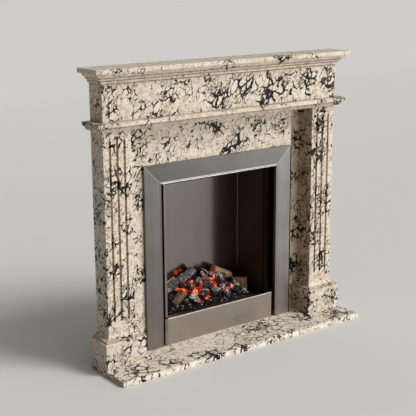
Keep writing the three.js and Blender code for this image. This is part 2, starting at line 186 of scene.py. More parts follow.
def surface(tree, links):
    """Ends a material with one shader that has these sockets."""
    shader = add(tree, "ShaderNodeBsdfPrincipled", links)
    add(tree, "ShaderNodeOutputMaterial", {"Surface": shader.outputs["BSDF"]})


def coat(node, material):
    """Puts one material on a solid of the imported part."""
    slots = frame["nodes"][node].data.materials
    slots.clear()
    slots.append(material)


print("helpers ready")

# %% [markdown]
# ## Studio
# A pale floor runs to the horizon, so the picture has no edge behind the mantel. A broad low sun stands for
# a large lamp at the right and front: its width gives the soft shadow on the left. The sky fills the shade.
# An even sky would leave the left ends too pale, so it is brighter overhead and at the right, and dim at the
# left. One lit card stands far in front and lights the panel under the shelf. A weak one at the right shows in
# the steel. The floor ends far away, and the camera sees a plain grey above it.

# %% Studio
FLOOR_HALF = 120.0
SUN_HEIGHT_DEG = 42.0
SUN_SIDE_DEG = 38.0
SUN_WIDTH_DEG = 25.0
SUN_ENERGY = 2.28
FLOOR_NEAR_Y, FLOOR_FAR_Y = -1.0, 9.0

floor_mesh = bpy.data.meshes.new("studio_floor")
corner = np.array([[-1, -1, 0], [1, -1, 0], [1, 1, 0], [-1, 1, 0]]) * FLOOR_HALF
floor_mesh.from_pydata(corner.tolist(), [], [[0, 1, 2, 3]])
floor = bpy.data.objects.new("studio_floor", floor_mesh)
bpy.context.collection.objects.link(floor)
floor_paint, tree = blank_material("matt grey-white floor paint")
# Matt paint, a little paler toward the back as painted light on the far ground: an even ground without seam or
# sheen.
place = add(tree, "ShaderNodeSeparateXYZ", {"Vector": add(tree, "ShaderNodeTexCoord").outputs["Object"]})
far = ranged(tree, place.outputs["Y"], FLOOR_NEAR_Y, FLOOR_FAR_Y, 0.0, 1.0)
tone = blend(tree, far, linear("#cfcdca"), linear("#e0e0dd"))
surface(tree, {"Base Color": tone, "Roughness": 0.9})
floor_mesh.materials.append(floor_paint)

sun_data = bpy.data.lights.new("soft_key", "SUN")
sun_data.energy = SUN_ENERGY
sun_data.angle = math.radians(SUN_WIDTH_DEG)
sun_data.color = (1.0, 0.985, 0.96)
sun = bpy.data.objects.new("soft_key", sun_data)
bpy.context.collection.objects.link(sun)
sun_turn = Matrix.Rotation(math.radians(SUN_SIDE_DEG), 4, "Z")
sun_tilt = Matrix.Rotation(math.radians(90.0 - SUN_HEIGHT_DEG), 4, "X")
sun.matrix_world = sun_turn @ sun_tilt

# Each card: its middle in metres, its turn about the upright, its width and height, and its power in watts.
CARDS = {
    "side_card": ((4.2, -3.2, 0.9), 52.0, (2.6, 2.2), 22.0),
    "front_card": ((1.2, -9.0, 1.2), 8.0, (5.0, 2.4), 285.0),
}
for name, (spot, turn_deg, size, power) in CARDS.items():
    card_data = bpy.data.lights.new(name, "AREA")
    card_data.shape = "RECTANGLE"
    card_data.size, card_data.size_y = size
    card_data.energy = power
    card = bpy.data.objects.new(name, card_data)
    bpy.context.collection.objects.link(card)
    upright = Matrix.Rotation(math.radians(turn_deg), 4, "Z") @ Matrix.Rotation(math.radians(90.0), 4, "X")
    card.matrix_world = Matrix.Translation(spot) @ upright

SKY_LEVEL = 0.11
SKY_SLOPE = (0.32, -0.10, 0.35)
SKY_LEAST = 0.02
BACKDROP_LEVEL = 0.58

world = bpy.data.worlds.new("studio_sky")
world.use_nodes = True
tree = world.node_tree
toward = add(tree, "ShaderNodeTexCoord").outputs["Generated"]
slope = add(tree, "ShaderNodeVectorMath", {0: toward, 1: SKY_SLOPE}, operation="DOT_PRODUCT").outputs["Value"]
level = reckon(tree, "ADD", slope, SKY_LEVEL)
level = reckon(tree, "MAXIMUM", level, SKY_LEAST)
seen = add(tree, "ShaderNodeLightPath").outputs["Is Camera Ray"]
level = add(tree, "ShaderNodeMix", {0: seen, 2: level, 3: BACKDROP_LEVEL}, data_type="FLOAT").outputs[0]
sky = tree.nodes["Background"]
sky.inputs["Color"].default_value = (1.0, 0.995, 0.98, 1.0)
tree.links.new(level, sky.inputs["Strength"])
bpy.context.scene.world = world
bpy.context.scene.view_settings.view_transform = "Standard"
print("studio: floor, key light,", len(CARDS), "cards and sky")

# %% [markdown]
# ## Marble
# The stone is a breccia marble: cream fragments, tinted ochre in places, held together by blue-black veins
# that crowd into clusters and leave other parts clear. A Voronoi texture splits space into such fragments,
# and its distance to the nearest edge becomes a vein wherever a density field says how thick to draw it.
# The field is a slow noise and a list of cluster centres, whichever is higher, so the heavy patches sit where
# the real slabs have them. Three nets of coarse, middling and fine fragments share the stone: a sorting field
# lets one of them show at each place, because nets laid over each other look like tangled wire. Thin brown
# veins fill the clear parts. All stone pieces share the part's frame, so a vein runs on from slab to slab.

# %% Marble
MM = 0.001
FRAGMENT_M = 0.036
CRUMB_M = 0.020
GRIT_M = 0.011
HAIR_M = 0.013
VEIN_EDGE_M = 0.0004
VEIN_SWELL = 1.3
BEND_M = 0.030
LEAN_DEG = 36.0
SORTING_M = 0.060
BAND_MIDDLE_M = 1.047
BAND_EDGE_M = (0.017, 0.024)
FRIEZE_TOP_M = (1.208, 1.218)
# Each cluster: its place x, y, z and its reach in centimetres, and the density in its middle in hundredths.
CLUSTERS = np.array([
    (-49, -7, 118, 10, 75), (-32, -7, 116, 10, 80), (-4, -7, 113, 12, 120), (9, -7, 115, 14, 100),
    (22, -7, 112, 14, 100), (32, -7, 115, 12, 105), (45, -7, 116, 14, 100), (59, -7, 116, 12, 100),
    (-60, -7, 113, 10, 70), (-46, -7, 110, 10, 75), (-37, -7, 108, 10, 85), (-27, -7, 108, 7, 75),
    (-7, -7, 110, 7, 110), (-43, 0, 102, 11, 95), (-43, 0, 93, 12, 85), (-29, 0, 94, 7, 75),
    (-1, 0, 98, 8, 110), (10, 0, 91, 12, 100), (22, 0, 97, 10, 95), (4, 0, 87, 8, 85), (37, 0, 95, 10, 90),
    (-41, 0, 71, 10, 95), (-43, 0, 81, 12, 85), (-44, 0, 38, 12, 70), (-58, -6, 99, 15, 85),
    (-56, -6, 81, 18, 80), (-62, -6, 74, 12, 85), (-52, -6, 62, 12, 70), (-63, -6, 44, 15, 80),
    (-54, -6, 34, 15, 80), (-64, -6, 25, 12, 75), (-49, -6, 22, 12, 80), (-59, -6, 58, 11, 60),
    (-57, -10, 8, 9, 65), (-47, -10, 12, 7, 100), (-63, -1, 69, 17, 75), (-63, 2, 47, 14, 65),
    (-63, 0, 31, 14, 70), (55, -6, 95, 14, 100), (54, -6, 81, 14, 100), (58, -6, 57, 17, 85),
    (52, -6, 40, 12, 100), (57, -6, 26, 14, 85), (50, 1, 86, 14, 90), (50, 0, 69, 14, 90),
    (50, 1, 43, 14, 90), (50, 0, 24, 14, 95), (45, -10, 10, 12, 95), (61, -10, 10, 12, 85),
    (-56, -18, 3, 18, 85), (-39, -18, 3, 14, 80), (-23, -22, 3, 15, 95), (16, -8, 3, 18, 85),
    (42, -11, 3, 11, 105), (15, -28, 3, 15, 95), (58, -17, 3, 17, 85), (-5, -22, 3, 11, 85),
    (-59, -12, 127, 6, 190), (-48, -12, 127, 6, 200), (-5, -12, 127, 10, 170), (27, -12, 128, 9, 280),
    (44, -12, 128, 10, 190), (52, -10, 105, 7, 160), (63, -10, 105, 8, 180), (-66, -10, 105, 7, 150),
    (-44, -10, 105, 6, 150),
]) / 100.0
# Each net of veins: fragment size, the density at which it starts, its most half width in mm, and the middle
# and half width of the range of the sorting field in which it shows.
NETS = (
    (FRAGMENT_M, 0.15, 7.2, 0.28, 0.22),
    (CRUMB_M, 0.19, 4.7, 0.56, 0.06),
    (GRIT_M, 0.25, 2.7, 0.77, 0.15),
)
CREAM_STOPS = (0.34, 0.46, 0.62)
CREAMS = ("#a99170", "#cfc3b1", "#d9d1c6")
# Painted light: paler creams for the hearth's top, as if more light fell on it.
LIT_CREAMS = ("#b9a281", "#dfd4c3", "#e9e2d7")


def stone(name, shade_share=None, grow=1.0, creams=CREAMS):
    """Breccia marble: fragments of three sizes, sorted by a slow field, parted by dark veins whose half width
    grows with the density. The eye gets cream and ochre clouds under near-black lines, with a dull sheen. A
    shade share, where given, tints it all over brown as painted shade; elsewhere each piece brings its own.
    Grow enlarges the fragments and their veins together."""
    material, tree = blank_material(name)
    place = add(tree, "ShaderNodeTexCoord").outputs["Object"]
    bend = add(tree, "ShaderNodeTexNoise", {"Vector": place, "Scale": 24.0, "Detail": 5.0, "Roughness": 0.65})
    centre = (0.5, 0.5, 0.5)
    bend = add(tree, "ShaderNodeVectorMath", {0: bend.outputs["Color"], 1: centre}, operation="SUBTRACT")
    bend = add(tree, "ShaderNodeVectorMath", {0: bend.outputs[0], "Scale": BEND_M}, operation="SCALE")
    bent = add(tree, "ShaderNodeVectorMath", {0: place, 1: bend.outputs[0]}, operation="ADD").outputs[0]
    lean = (0.0, math.radians(LEAN_DEG), 0.0)
    leaning = add(
        tree, "ShaderNodeMapping", {"Vector": bent, "Rotation": lean, "Scale": (0.80, 1.0, 1.45)},
        vector_type="TEXTURE",
    ).outputs[0]

    slow = noise(tree, place, 0.200, 2.0)
    density = ranged(tree, slow, 0.34, 0.68, 0.13, 0.54)
    for *middle, reach, weight in CLUSTERS.tolist():
        away = add(tree, "ShaderNodeVectorMath", {0: place, 1: middle}, operation="DISTANCE")
        near = ranged(tree, away.outputs["Value"], reach, 0.0, 0.0, weight, interpolation_type="SMOOTHSTEP")
        density = reckon(tree, "MAXIMUM", density, near)

    # The mouldings were cut from clearer blocks: veins thin out in the band and above the frieze.
    height = add(tree, "ShaderNodeSeparateXYZ", {"Vector": place}).outputs["Z"]
    off_band = reckon(tree, "ABSOLUTE", reckon(tree, "SUBTRACT", height, BAND_MIDDLE_M))
    clear_band = ranged(tree, off_band, *BAND_EDGE_M, 0.6, 1.0)
    clear_top = ranged(tree, height, *FRIEZE_TOP_M, 1.0, 0.4)
    for clear in (clear_band, clear_top):
        density = reckon(tree, "MULTIPLY", density, clear)

    # The veins come and go along their length: a field of 70 mm makes chains and one of 18 mm breaks them.
    thick = density
    for wave_m, swing in ((0.070, 1.3), (0.018, 1.5)):
        field = reckon(tree, "SUBTRACT", noise(tree, place, wave_m, 2.0), 0.5)
        thick = reckon(tree, "MULTIPLY_ADD", field, swing, thick)

    sorting = noise(tree, bent, SORTING_M, 1.0)
    dark = 0.0
    for size, start, most_mm, middle, half in NETS:
        size = size * grow
        split = edge_distance(tree, leaning, size)
        off = reckon(tree, "ABSOLUTE", reckon(tree, "SUBTRACT", sorting, middle))
        room = ranged(tree, off, half, half + 0.04, 0.0, -1.2)
        here = reckon(tree, "ADD", thick, room)
        edge = VEIN_EDGE_M / size
        width = ranged(tree, here, start, start + VEIN_SWELL, -edge, grow * most_mm * MM / size)
        depth = reckon(tree, "SUBTRACT", width, split)
        layer = ranged(tree, depth, -edge, edge, 0.0, 1.0)
        dark = reckon(tree, "MAXIMUM", layer, dark)

    cloud = noise(tree, bent, 0.016, 6.0, 0.75)
    cream = ramp(tree, cloud, *zip(CREAM_STOPS, creams))

    # Hair veins, thin and brown, outline small fragments also where the stone is clear.
    hair = edge_distance(tree, leaning, HAIR_M)
    hair = ranged(tree, hair, 0.02, 0.09, 1.0, 0.0)
    faint = noise(tree, place, 0.030, 3.0)
    faint = ranged(tree, faint, 0.42, 0.62, 0.0, 0.75)
    hair = reckon(tree, "MULTIPLY", hair, faint)
    lined = blend(tree, hair, cream, linear("#7c6549"))
    fleck = noise(tree, bent, 0.010, 3.0)
    fleck = ranged(tree, fleck, 0.57, 0.70, 0.0, 0.6)
    tinted = blend(tree, fleck, lined, linear("#a08055"))
    # Painted shade: a brown tint by the given share, or by the recess number that each piece carries.
    if shade_share is None:
        shade_share = carried(tree, "recess")
    shade_tinted = blend(tree, shade_share, tinted, linear("#8e6a3f"))
    veined = blend(tree, dark, shade_tinted, linear("#08070b"))
    surface(tree, {"Base Color": veined, "Roughness": 0.45, "Specular IOR Level": 0.22})
    return material


# The panel round the fire gets painted shade, a brown tint all over, and the hearth gets painted light: paler
# creams.
marble = stone("honed breccia marble")
shaded_marble = stone("breccia marble with painted shade", 0.5)
lit_marble = stone("breccia marble with painted light", grow=1.25, creams=LIT_CREAMS)
print("marble with", len(CLUSTERS), "vein clusters")

# %% [markdown]
# ## Stone courses
# Shelf, cornice, frieze, band, plinths and hearth are all one kind of thing: a moulding profile that runs
# along the front and returns along both ends to the wall. Each is a stack of rectangles with slightly rounded
# front corners, one rectangle for each level of the profile. The solids already have these shapes in a few
# facets, and the surfaces here follow the same sizes with finer steps.

# %% Stone courses
# Sizes are in millimetres, and depths are counted from the wall plane, which stands behind the frame's origin.
WALL_M = 0.0285
FROM_WALL = np.array([0.0, WALL_M / MM, 0.0])
ARRIS = 1.2
CORNER = 1.5
STONE_HALF, LEG_INNER = 634, 500
FRIEZE_DEEP, LEG_DEEP = 98, 93


def quarter(foot, head, steps=14):
    """A quarter round from foot to head, each (out, height): out by the sine, height by one less the cosine."""
    turn = np.linspace(0.0, np.pi / 2, steps)
    out = foot[0] + (head[0] - foot[0]) * np.sin(turn)
    height = foot[1] + (head[1] - foot[1]) * (1 - np.cos(turn))
    return np.stack([out, height], -1)


def slab(foot, head, out=0.0):
    """Four levels of a slab whose lower and upper edges are eased by the arris."""
    return np.array([(out - ARRIS, foot), (out, foot + ARRIS), (out, head - ARRIS), (out - ARRIS, head)])


def put(name, points, faces, material, slot, nodes=(), smooth_deg=32.0, **fields):
    """Makes a mesh object in the part's frame from points that are counted from the wall plane, with one
    attribute for each field: a number for each point, or three."""
    mesh = bpy.data.meshes.new(name)
    mesh.from_pydata(((points.reshape(-1, 3) + FROM_WALL) * MM).tolist(), [], faces)
    mesh.shade_smooth()
    mesh.set_sharp_from_angle(angle=math.radians(smooth_deg))
    for key, values in fields.items():
        kind, part = ("FLOAT_VECTOR", "vector") if np.ndim(values) == 2 else ("FLOAT", "value")
        layer = mesh.attributes.new(key, kind, "POINT")
        layer.data.foreach_set(part, np.ravel(values).astype(np.float32))
    mesh.materials.append(material)
    piece = bpy.data.objects.new(name, mesh)
    bpy.context.collection.objects.link(piece)
    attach(piece, BODY)
    if nodes:
        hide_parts(*nodes)


def course(name, left, right, depth, levels, nodes, shade_share=0.0, end_shade_share=(0.0, 0.0), paint=marble):
    """A profile of (out, height) levels carried round the front and both ends: at each level a rectangle,
    its two front corners turned on a small radius, with flat faces closing the foot and the head. The shade
    share goes by level, and the end shade share by the left and right end: both are painted shade, a brown
    tint."""
    levels = np.asarray(levels, float)
    turn = np.linspace(0.0, np.pi / 2, 4)
    out = levels[:, :1]
    lefts = left - out + CORNER * (1 - np.cos(turn))
    rights = right + out - CORNER * (1 - np.sin(turn))
    fronts = -depth - out + CORNER * (1 - np.sin(turn))
    back = np.zeros_like(out)
    x = np.hstack([left - out, lefts, rights, right + out])
    y = np.hstack([back, fronts, fronts[:, ::-1], back])
    z = np.repeat(levels[:, 1:], x.shape[1], 1)
    points = np.stack([x, y, z], -1)
    rows, columns = x.shape
    faces = tube(rows, columns)
    field = np.zeros((rows, columns))
    field[:, :2] = end_shade_share[0]
    field[:, -2:] = end_shade_share[1]
    field = np.maximum(field, np.reshape(shade_share, (-1, 1)))
    put(name, points, faces, paint, "marble", nodes, recess=field.ravel())
    print(name, len(faces), "faces")


course("hearth_stone", -670, 670, 262, slab(0, 25), ["hearth_slab"], paint=lit_marble)
course("shelf_stone", -686, 686, 148, slab(1264, 1283), ["mantel_shelf"])
frieze = [(0, 1067), (0, 1070), (0, 1214), (0, 1218.7)]
# Painted shade: the frieze's foot and head levels are tinted brown, under the cornice and over the band.
course("frieze_stone", -STONE_HALF, STONE_HALF, FRIEZE_DEEP, frieze, ["frieze_block"], [0.8, 0.0, 0.0, 0.8])

# %% [markdown]
# The cornice, band and plinths are stacks of quarter rounds and flat strips. The narrow grooves between them
# get painted shade, an ochre brown tint, so each level also says how much of it it gets.

# %% Mouldings
def groove_shade(levels, grooves, share):
    """The painted shade of each level: the share in the grooves, and none elsewhere."""
    return np.where(np.isin(np.arange(len(levels)), grooves), share, 0.0)


cornice = np.vstack([
    [(1, 1219), (1, 1221), (9, 1222), (9, 1231), (7.5, 1232.5)],
    quarter((10, 1234), (19, 1243)),
    [(17.5, 1244.5)],
    quarter((20, 1246), (34, 1262.5), 20),
    [(34, 1263.7)],
])
groove = groove_shade(cornice, [0, 1, 4, 5, 19, 20], 0.9)
course("cornice_stone", -STONE_HALF, STONE_HALF, FRIEZE_DEEP, cornice, ["cornice_moulding"], groove)

band = np.vstack([
    [(0, 1026), (0, 1026.8)],
    quarter((6, 1027.6), (24, 1037.9)),
    [(27, 1038.7), (27, 1048.7)],
    slab(1049.5, 1066.7, 40.0),
])
groove = groove_shade(band, [0, 1, 2, 15, 17, 18], 0.8)
course("band_stone", -STONE_HALF, STONE_HALF, LEG_DEEP, band, ["moulded_band"], groove)

plinth = np.vstack([
    [(33, 25.3), (33, 136.6), (30.6, 139), (24, 139.8), (24, 146)],
    quarter((19, 146.8), (0, 171.7), 18),
])
groove = groove_shade(plinth, [3, 5], 0.7)
# Painted shade: the inner sides of the legs and plinths, which face the opening, are tinted brown.
INNER_SHADE = 0.44
course("plinth_stone_left", -STONE_HALF, -LEG_INNER, LEG_DEEP, plinth, ["plinth_left"], groove,
       (0.0, INNER_SHADE))
course("plinth_stone_right", LEG_INNER, STONE_HALF, LEG_DEEP, plinth, ["plinth_right"], groove,
       (INNER_SHADE, 0.0))

# %% [markdown]
# ## Fluted pilasters
# Each shaft has three flutes that stop short of its ends in a round. A boolean cut would do it, but a
# surface is cleaner: the front face is a grid, and a point inside a flute sinks by the height of an ellipse
# over its distance from the flute's middle line.

# %% Pilasters
FLUTE_HALF, FLUTE_DEEP, FLUTE_APART = 5.5, 9.0, 34.5
SHAFT_HALF, SHAFT_MIDDLE = (STONE_HALF - LEG_INNER) / 2, (STONE_HALF + LEG_INNER) / 2


def pilaster(name, middle, node):
    """Front grid across and up: depth is the flute depth times the root of one minus the squared share of the
    half width, where the share is the distance to the flute's middle line. Sides and back close the section."""
    foot, head = 172.0, 1025.7
    low, high = 218.0 + FLUTE_HALF, 989.7 - FLUTE_HALF
    swing = np.sin(np.linspace(-np.pi / 2, np.pi / 2, 17)) * FLUTE_HALF
    flutes = np.array([-FLUTE_APART, 0.0, FLUTE_APART])
    rim = np.array([65.8, 66.4, SHAFT_HALF])
    across = np.concatenate([-rim[::-1], (flutes[:, None] + swing).ravel(), rim])
    upward = np.concatenate([
        [foot, 200], low + swing[:9], np.linspace(low, high, 10)[1:-1], high + swing[8:], [1008, head],
    ])
    away_x = np.abs(across[:, None] - flutes).min(1)
    away_z = np.maximum(np.maximum(low - upward, upward - high), 0.0)
    share = np.hypot(away_x[None, :], away_z[:, None]) / FLUTE_HALF
    sunk = FLUTE_DEEP * np.sqrt(np.clip(1.0 - share ** 2, 0.0, 1.0))
    ease = ARRIS * np.clip(1.0 - (SHAFT_HALF - np.abs(across)) / ARRIS, 0.0, 1.0) ** 2
    front = -LEG_DEEP + sunk + ease
    rows, columns = front.shape
    x = np.broadcast_to(across + middle, (rows, columns))
    z = np.broadcast_to(upward[:, None], (rows, columns))
    edge = np.ones((rows, 1))
    x = np.hstack([edge * (middle - SHAFT_HALF), x, edge * (middle + SHAFT_HALF)])
    y = np.hstack([edge * 0.0, front, edge * 0.0])
    z = np.hstack([z[:, :1], z, z[:, :1]])
    # Painted shade: the flutes darken brown with their depth, and the inner side of each shaft too.
    hollow = np.clip(sunk / FLUTE_DEEP * 0.9, 0, 0.6)
    hollow[:, 0] = INNER_SHADE * (middle > 0)
    hollow[:, -1] = INNER_SHADE * (middle < 0)
    shade_share = np.hstack([edge * INNER_SHADE * (middle > 0), hollow, edge * INNER_SHADE * (middle < 0)])
    faces = tube(rows, columns + 2)
    put(name, np.stack([x, y, z], -1), faces, marble, "marble", [node], recess=shade_share.ravel())
    print(name, len(faces), "faces")


pilaster("pilaster_stone_left", -SHAFT_MIDDLE, "pilaster_left")
pilaster("pilaster_stone_right", SHAFT_MIDDLE, "pilaster_right")
coat("back_panel", shaded_marble)

# %% [markdown]
# ## Steel
# The trim frame and fret are folded steel sheet with a satin, brushed face. Brushing leaves fine streaks
# along each bar: a noise stretched about ninety times along the bar shifts the roughness and the tone. The
# firebox is lined with darker sheet, polished at the back and the left, and dark and matt elsewhere as painted
# shade. Each tone also shifts from left to right and warms near the hearth: a painted reflection.

# %% Steel
BOUNCE_TINT = "#8d7b6d"
BOUNCE_FROM_M, BOUNCE_TO_M, BOUNCE_MOST = 0.03, 0.34, 0.28
STREAK_SPAN = (0.7, 1.3)
SLOW_WAVE_M = 1.0 / 7.0
TONE_HALF_M = 0.40
FIREBOX_HALF_M, FIREBOX_TOP_M, PANEL_BACK_M = 0.291, 0.758, 0.050
MOUTH_M, MOUTH_SHADE = (0.030, 0.045), 0.15


def brushed(name, left_tone, right_tone, streaks, roughness, swing=0.12, skin=None):
    """Brushed steel that goes from one tone at the left to another at the right, a painted reflection, with
    fine
    streaks and a soft gleam: streaks is the noise scale along x, y and z, in waves a metre. A skin is the tone
    outside the firebox, behind the panel, and with it the mouth gets painted shade, blackest at its front edge."""
    material, tree = blank_material(name)
    place = add(tree, "ShaderNodeTexCoord").outputs["Object"]
    stretched = add(tree, "ShaderNodeMapping", {"Vector": place, "Scale": streaks}).outputs[0]
    streak = noise(tree, stretched, 1.0, 4.0)
    slow = noise(tree, place, SLOW_WAVE_M, 2.0)
    both = reckon(tree, "ADD", streak, slow)
    shade = ranged(tree, both, *STREAK_SPAN, 1.0 - swing, 1.0 + swing)
    parts = add(tree, "ShaderNodeSeparateXYZ", {"Vector": place})
    # Painted reflection: the tone shifts from the left to the right, as the room would show in the steel.
    across = ranged(tree, parts.outputs["X"], -TONE_HALF_M, TONE_HALF_M, 0.0, 1.0)
    tone = blend(tree, across, linear(left_tone), linear(right_tone))
    # Painted reflection: near the hearth the sheet takes on a warm tint, as if it showed the stone.
    warm = ranged(tree, parts.outputs["Z"], BOUNCE_FROM_M, BOUNCE_TO_M, BOUNCE_MOST, 0.0)
    tone = blend(tree, warm, tone, linear(BOUNCE_TINT))
    if skin:
        # Painted shade: the mouth of the firebox darkens toward its front edge.
        shade = reckon(tree, "MULTIPLY", shade, ranged(tree, parts.outputs["Y"], *MOUTH_M, MOUTH_SHADE, 1.0))
        beyond = reckon(tree, "GREATER_THAN", parts.outputs["X"], FIREBOX_HALF_M)
        above = reckon(tree, "GREATER_THAN", parts.outputs["Z"], FIREBOX_TOP_M)
        behind = reckon(tree, "GREATER_THAN", parts.outputs["Y"], PANEL_BACK_M)
        outer = reckon(tree, "MULTIPLY", reckon(tree, "MAXIMUM", beyond, above), behind)
        tone = blend(tree, outer, tone, linear(skin))
    tone = add(tree, "ShaderNodeVectorMath", {0: tone, "Scale": shade}, operation="SCALE").outputs[0]
    gloss = ranged(tree, both, *STREAK_SPAN, roughness, roughness + 0.5 * swing)
    surface(tree, {"Base Color": tone, "Roughness": gloss, "Metallic": 1.0})
    return material


steel_up = brushed("satin steel brushed upward", "#767370", "#94918e", (260.0, 260.0, 3.0), 0.34)
steel_along = brushed("satin steel brushed along", "#656360", "#84827f", (3.0, 260.0, 260.0), 0.34)
fret_steel = brushed("satin steel of the fret", "#9d9691", "#a49d96", (3.0, 260.0, 260.0), 0.36)
lining = brushed("dark polished firebox lining", "#96908b", "#7b7470", (90.0, 90.0, 1.2), 0.17, 0.05)
# Painted shade: the right side, top and floor of the firebox are a dark matt copy of the lining.
shaded_lining = brushed("dark lining with painted shade", "#53433b", "#53433b", (90.0, 90.0, 1.2), 0.50, skin="#8a8580")

for name, material in {
    "frame_stile_left": steel_up, "frame_stile_right": steel_up, "frame_head_rail": steel_along,
    "fret_panel": fret_steel, "firebox_side_left": lining, "firebox_side_right": shaded_lining,
    "firebox_top": shaded_lining, "firebox_back": lining, "firebox_floor": shaded_lining,
}.items():
    coat(name, material)
print("steel on the frame, the fret and the firebox")

# %% [markdown]
# Thin trims finish the metalwork. First come a black strip on the frame's right edge, standing for the
# painted shade of a shadow line there, and a steel strip at the fret's left end. Each is a small closed outline
# carried along a path, so one function makes both, and also the slips, lines and beads that follow.

# %% Strips
def trim(name, rings, material, slot):
    """A closed outline carried along a path: rings holds the outline's points at each station of the path,
    and flat faces close the two ends."""
    faces = tube(*rings.shape[:2])
    put(name, rings, faces, material, slot)
    print(name, len(faces), "faces")


shade_strip, tree = blank_material("black strip for painted shade")
# Painted shade: a matt, near black strip for the shadow line at the frame's right edge, with a fine uneven
# speckle.
place = add(tree, "ShaderNodeTexCoord").outputs["Object"]
speckle = noise(tree, place, 0.003, 3.0)
tone = blend(tree, speckle, linear("#070606"), linear("#1b1918"))
surface(tree, {"Base Color": tone, "Roughness": 0.9, "Specular IOR Level": 0.2})
# Painted highlight: a pale steel for the mitre lines and the head bead, standing for light caught on their
# edges.
bright = brushed("pale steel with painted highlight", "#d2d0cc", "#c0bdba", (40.0, 40.0, 40.0), 0.30, 0.02)


def bar(left, right, front, back, foot, head):
    """The four corners of an upright bar's outline at its foot and at its head."""
    outline = np.array([(left, front), (right, front), (right, back), (left, back)])
    return np.stack([np.column_stack([outline, np.full(4, height)]) for height in (foot, head)])


trim("edge_strip_right", bar(410.1, 416.0, -44.5, -31.5, 25.6, 851.5), shade_strip, "trim_steel")
trim("fret_end_strip", bar(-312.5, -296.8, -41.5, -39.5, 25.6, 150.0), lining, "trim_steel")

# %% [markdown]
# Marble slips stand on the panel and close the joint between stone and steel. They fill the whole strip at the
# left and over the head, and leave a narrow margin at the right, beside the deep recess. One outline, seen from
# the front, is carried forward from the panel, so that the slips meet without a seam.

# %% Marble slips
SLIP_THICK = 31.0
slip = np.array([
    (-466.4, 25.6), (-410.5, 25.6), (-410.5, 852.6), (410.5, 852.6), (410.5, 25.6),
    (424.0, 25.6), (424.0, 1025.5), (-499.5, 1025.5), (-499.5, 172.6), (-466.4, 172.6),
])
rings = np.stack([np.insert(slip, 1, deep, axis=1) for deep in (0.0, -SLIP_THICK)])
trim("marble_slips", rings, marble, "marble")

# %% [markdown]
# The last trims are bright: a line along each mitre and a bead under the head, drawn in pale steel as a painted
# highlight, and a slim bead in the right back corner of the firebox. They are thin, but they catch the light,
# and part the folded sheet into its bars.

# %% Lines and beads
FRAME_FRONT = -46.0
MITRE_HALF, MITRE_SUNK, MITRE_PROUD = 1.0, 0.1, 0.25
for name, side in (("mitre_line_left", -1.0), ("mitre_line_right", 1.0)):
    ends = np.array([(side * 409.0, 851.0), (side * 325.0, 767.0)])
    slope = np.array([0.707, side * -0.707]) * MITRE_HALF
    lift = FRAME_FRONT + np.array([MITRE_SUNK, -MITRE_PROUD, MITRE_SUNK])
    shift = np.array([-1.0, 0.0, 1.0])[:, None] * slope
    x = ends[:, None, 0] + shift[:, 0]
    z = ends[:, None, 1] + shift[:, 1]
    trim(name, np.stack([x, np.broadcast_to(lift, x.shape), z], -1), bright, "trim_steel")

# The head's lower edge is rolled into a bead, drawn pale as a painted highlight.
BEAD_MIDDLE, BEAD_RADIUS = np.array([-46.1, 767.2]), 1.9
turn = np.linspace(0.0, np.pi, 8)
roll = BEAD_MIDDLE + BEAD_RADIUS * np.stack([-np.sin(turn), np.cos(turn)], -1)
trim("head_bead", np.stack([np.insert(roll, 0, end, axis=1) for end in (-321.0, 321.0)]), bright, "trim_steel")

CORNER_MIDDLE, CORNER_RADIUS = np.array([288.0, 201.0]), 1.7
turn = np.linspace(0.0, 2 * np.pi, 12, endpoint=False)
corner = CORNER_MIDDLE + CORNER_RADIUS * np.stack([np.cos(turn), np.sin(turn)], -1)
ring = np.stack([np.column_stack([corner, np.full(12, height)]) for height in (128.4, 754.0)])
trim("corner_bead", ring, lining, "firebox_steel")

# %% [markdown]
# ## Roughness in numbers
# Coal, bark and ash are rough in three dimensions, so their roughness has to move the points, and not only
# tilt the light. A lattice of random numbers, blended smoothly from corner to corner, gives a field that can
# be read at any point. The numbers come from a fixed formula, so every run gives the same coal.

# %% Roughness field
def rough(points, size, seed):
    """A smooth random field from -1 to 1: a fixed random number at each corner of a lattice of the given size,
    blended across each cell by 3t² − 2t³ along every axis."""
    cell = np.floor(points / size)
    share = points / size - cell
    ease = share * share * (3.0 - 2.0 * share)
    total = np.zeros(points.shape[:-1])
    for corner in np.ndindex(2, 2, 2):
        code = (cell + corner) @ np.array([127.1, 311.7, 74.7]) + seed * 19.19
        value = np.modf(np.abs(np.sin(code)) * 43758.5453)[0]
        total += value * np.where(corner, ease, 1.0 - ease).prod(-1)
    return total * 2.0 - 1.0


def capped(rows, columns):
    """Faces of rings stacked row on row, with an end point after them for the first and one for the last."""
    ring = np.arange(columns)
    onward = (ring + 1) % columns
    low, high = rows * columns, rows * columns + 1
    top = (rows - 1) * columns
    foot = np.stack([onward, ring, np.full(columns, low)], -1)
    head = np.stack([top + ring, top + onward, np.full(columns, high)], -1)
    return grid_quads(rows, columns, closed=True).tolist() + foot.tolist() + head.tolist()


def ball(rows, columns):
    """Rays from the middle of a ball: rings from the foot to the head, then one ray down and one up."""
    polar = np.linspace(-np.pi / 2, np.pi / 2, rows + 2)[1:-1, None]
    around = np.linspace(0.0, 2 * np.pi, columns, endpoint=False)
    flat = np.cos(polar)
    rings = np.stack([flat * np.cos(around), flat * np.sin(around), np.sin(polar) + 0 * around], -1)
    return np.vstack([rings.reshape(-1, 3), [[0, 0, -1], [0, 0, 1]]])


print("roughness field ready")

# %% [markdown]
# ## Glowing ember bed
# Under the coals lies a heap of fine embers: black clinker that glows where air reaches it. It is a height
# field: an arch across, a quarter wave from front to ridge, a little roughness, and a hollow under each coal.
# The glow could be a lamp under the heap, but hot patches on the surface itself light the coals from below
# in the right places, so each point gets a heat that the material turns into light.

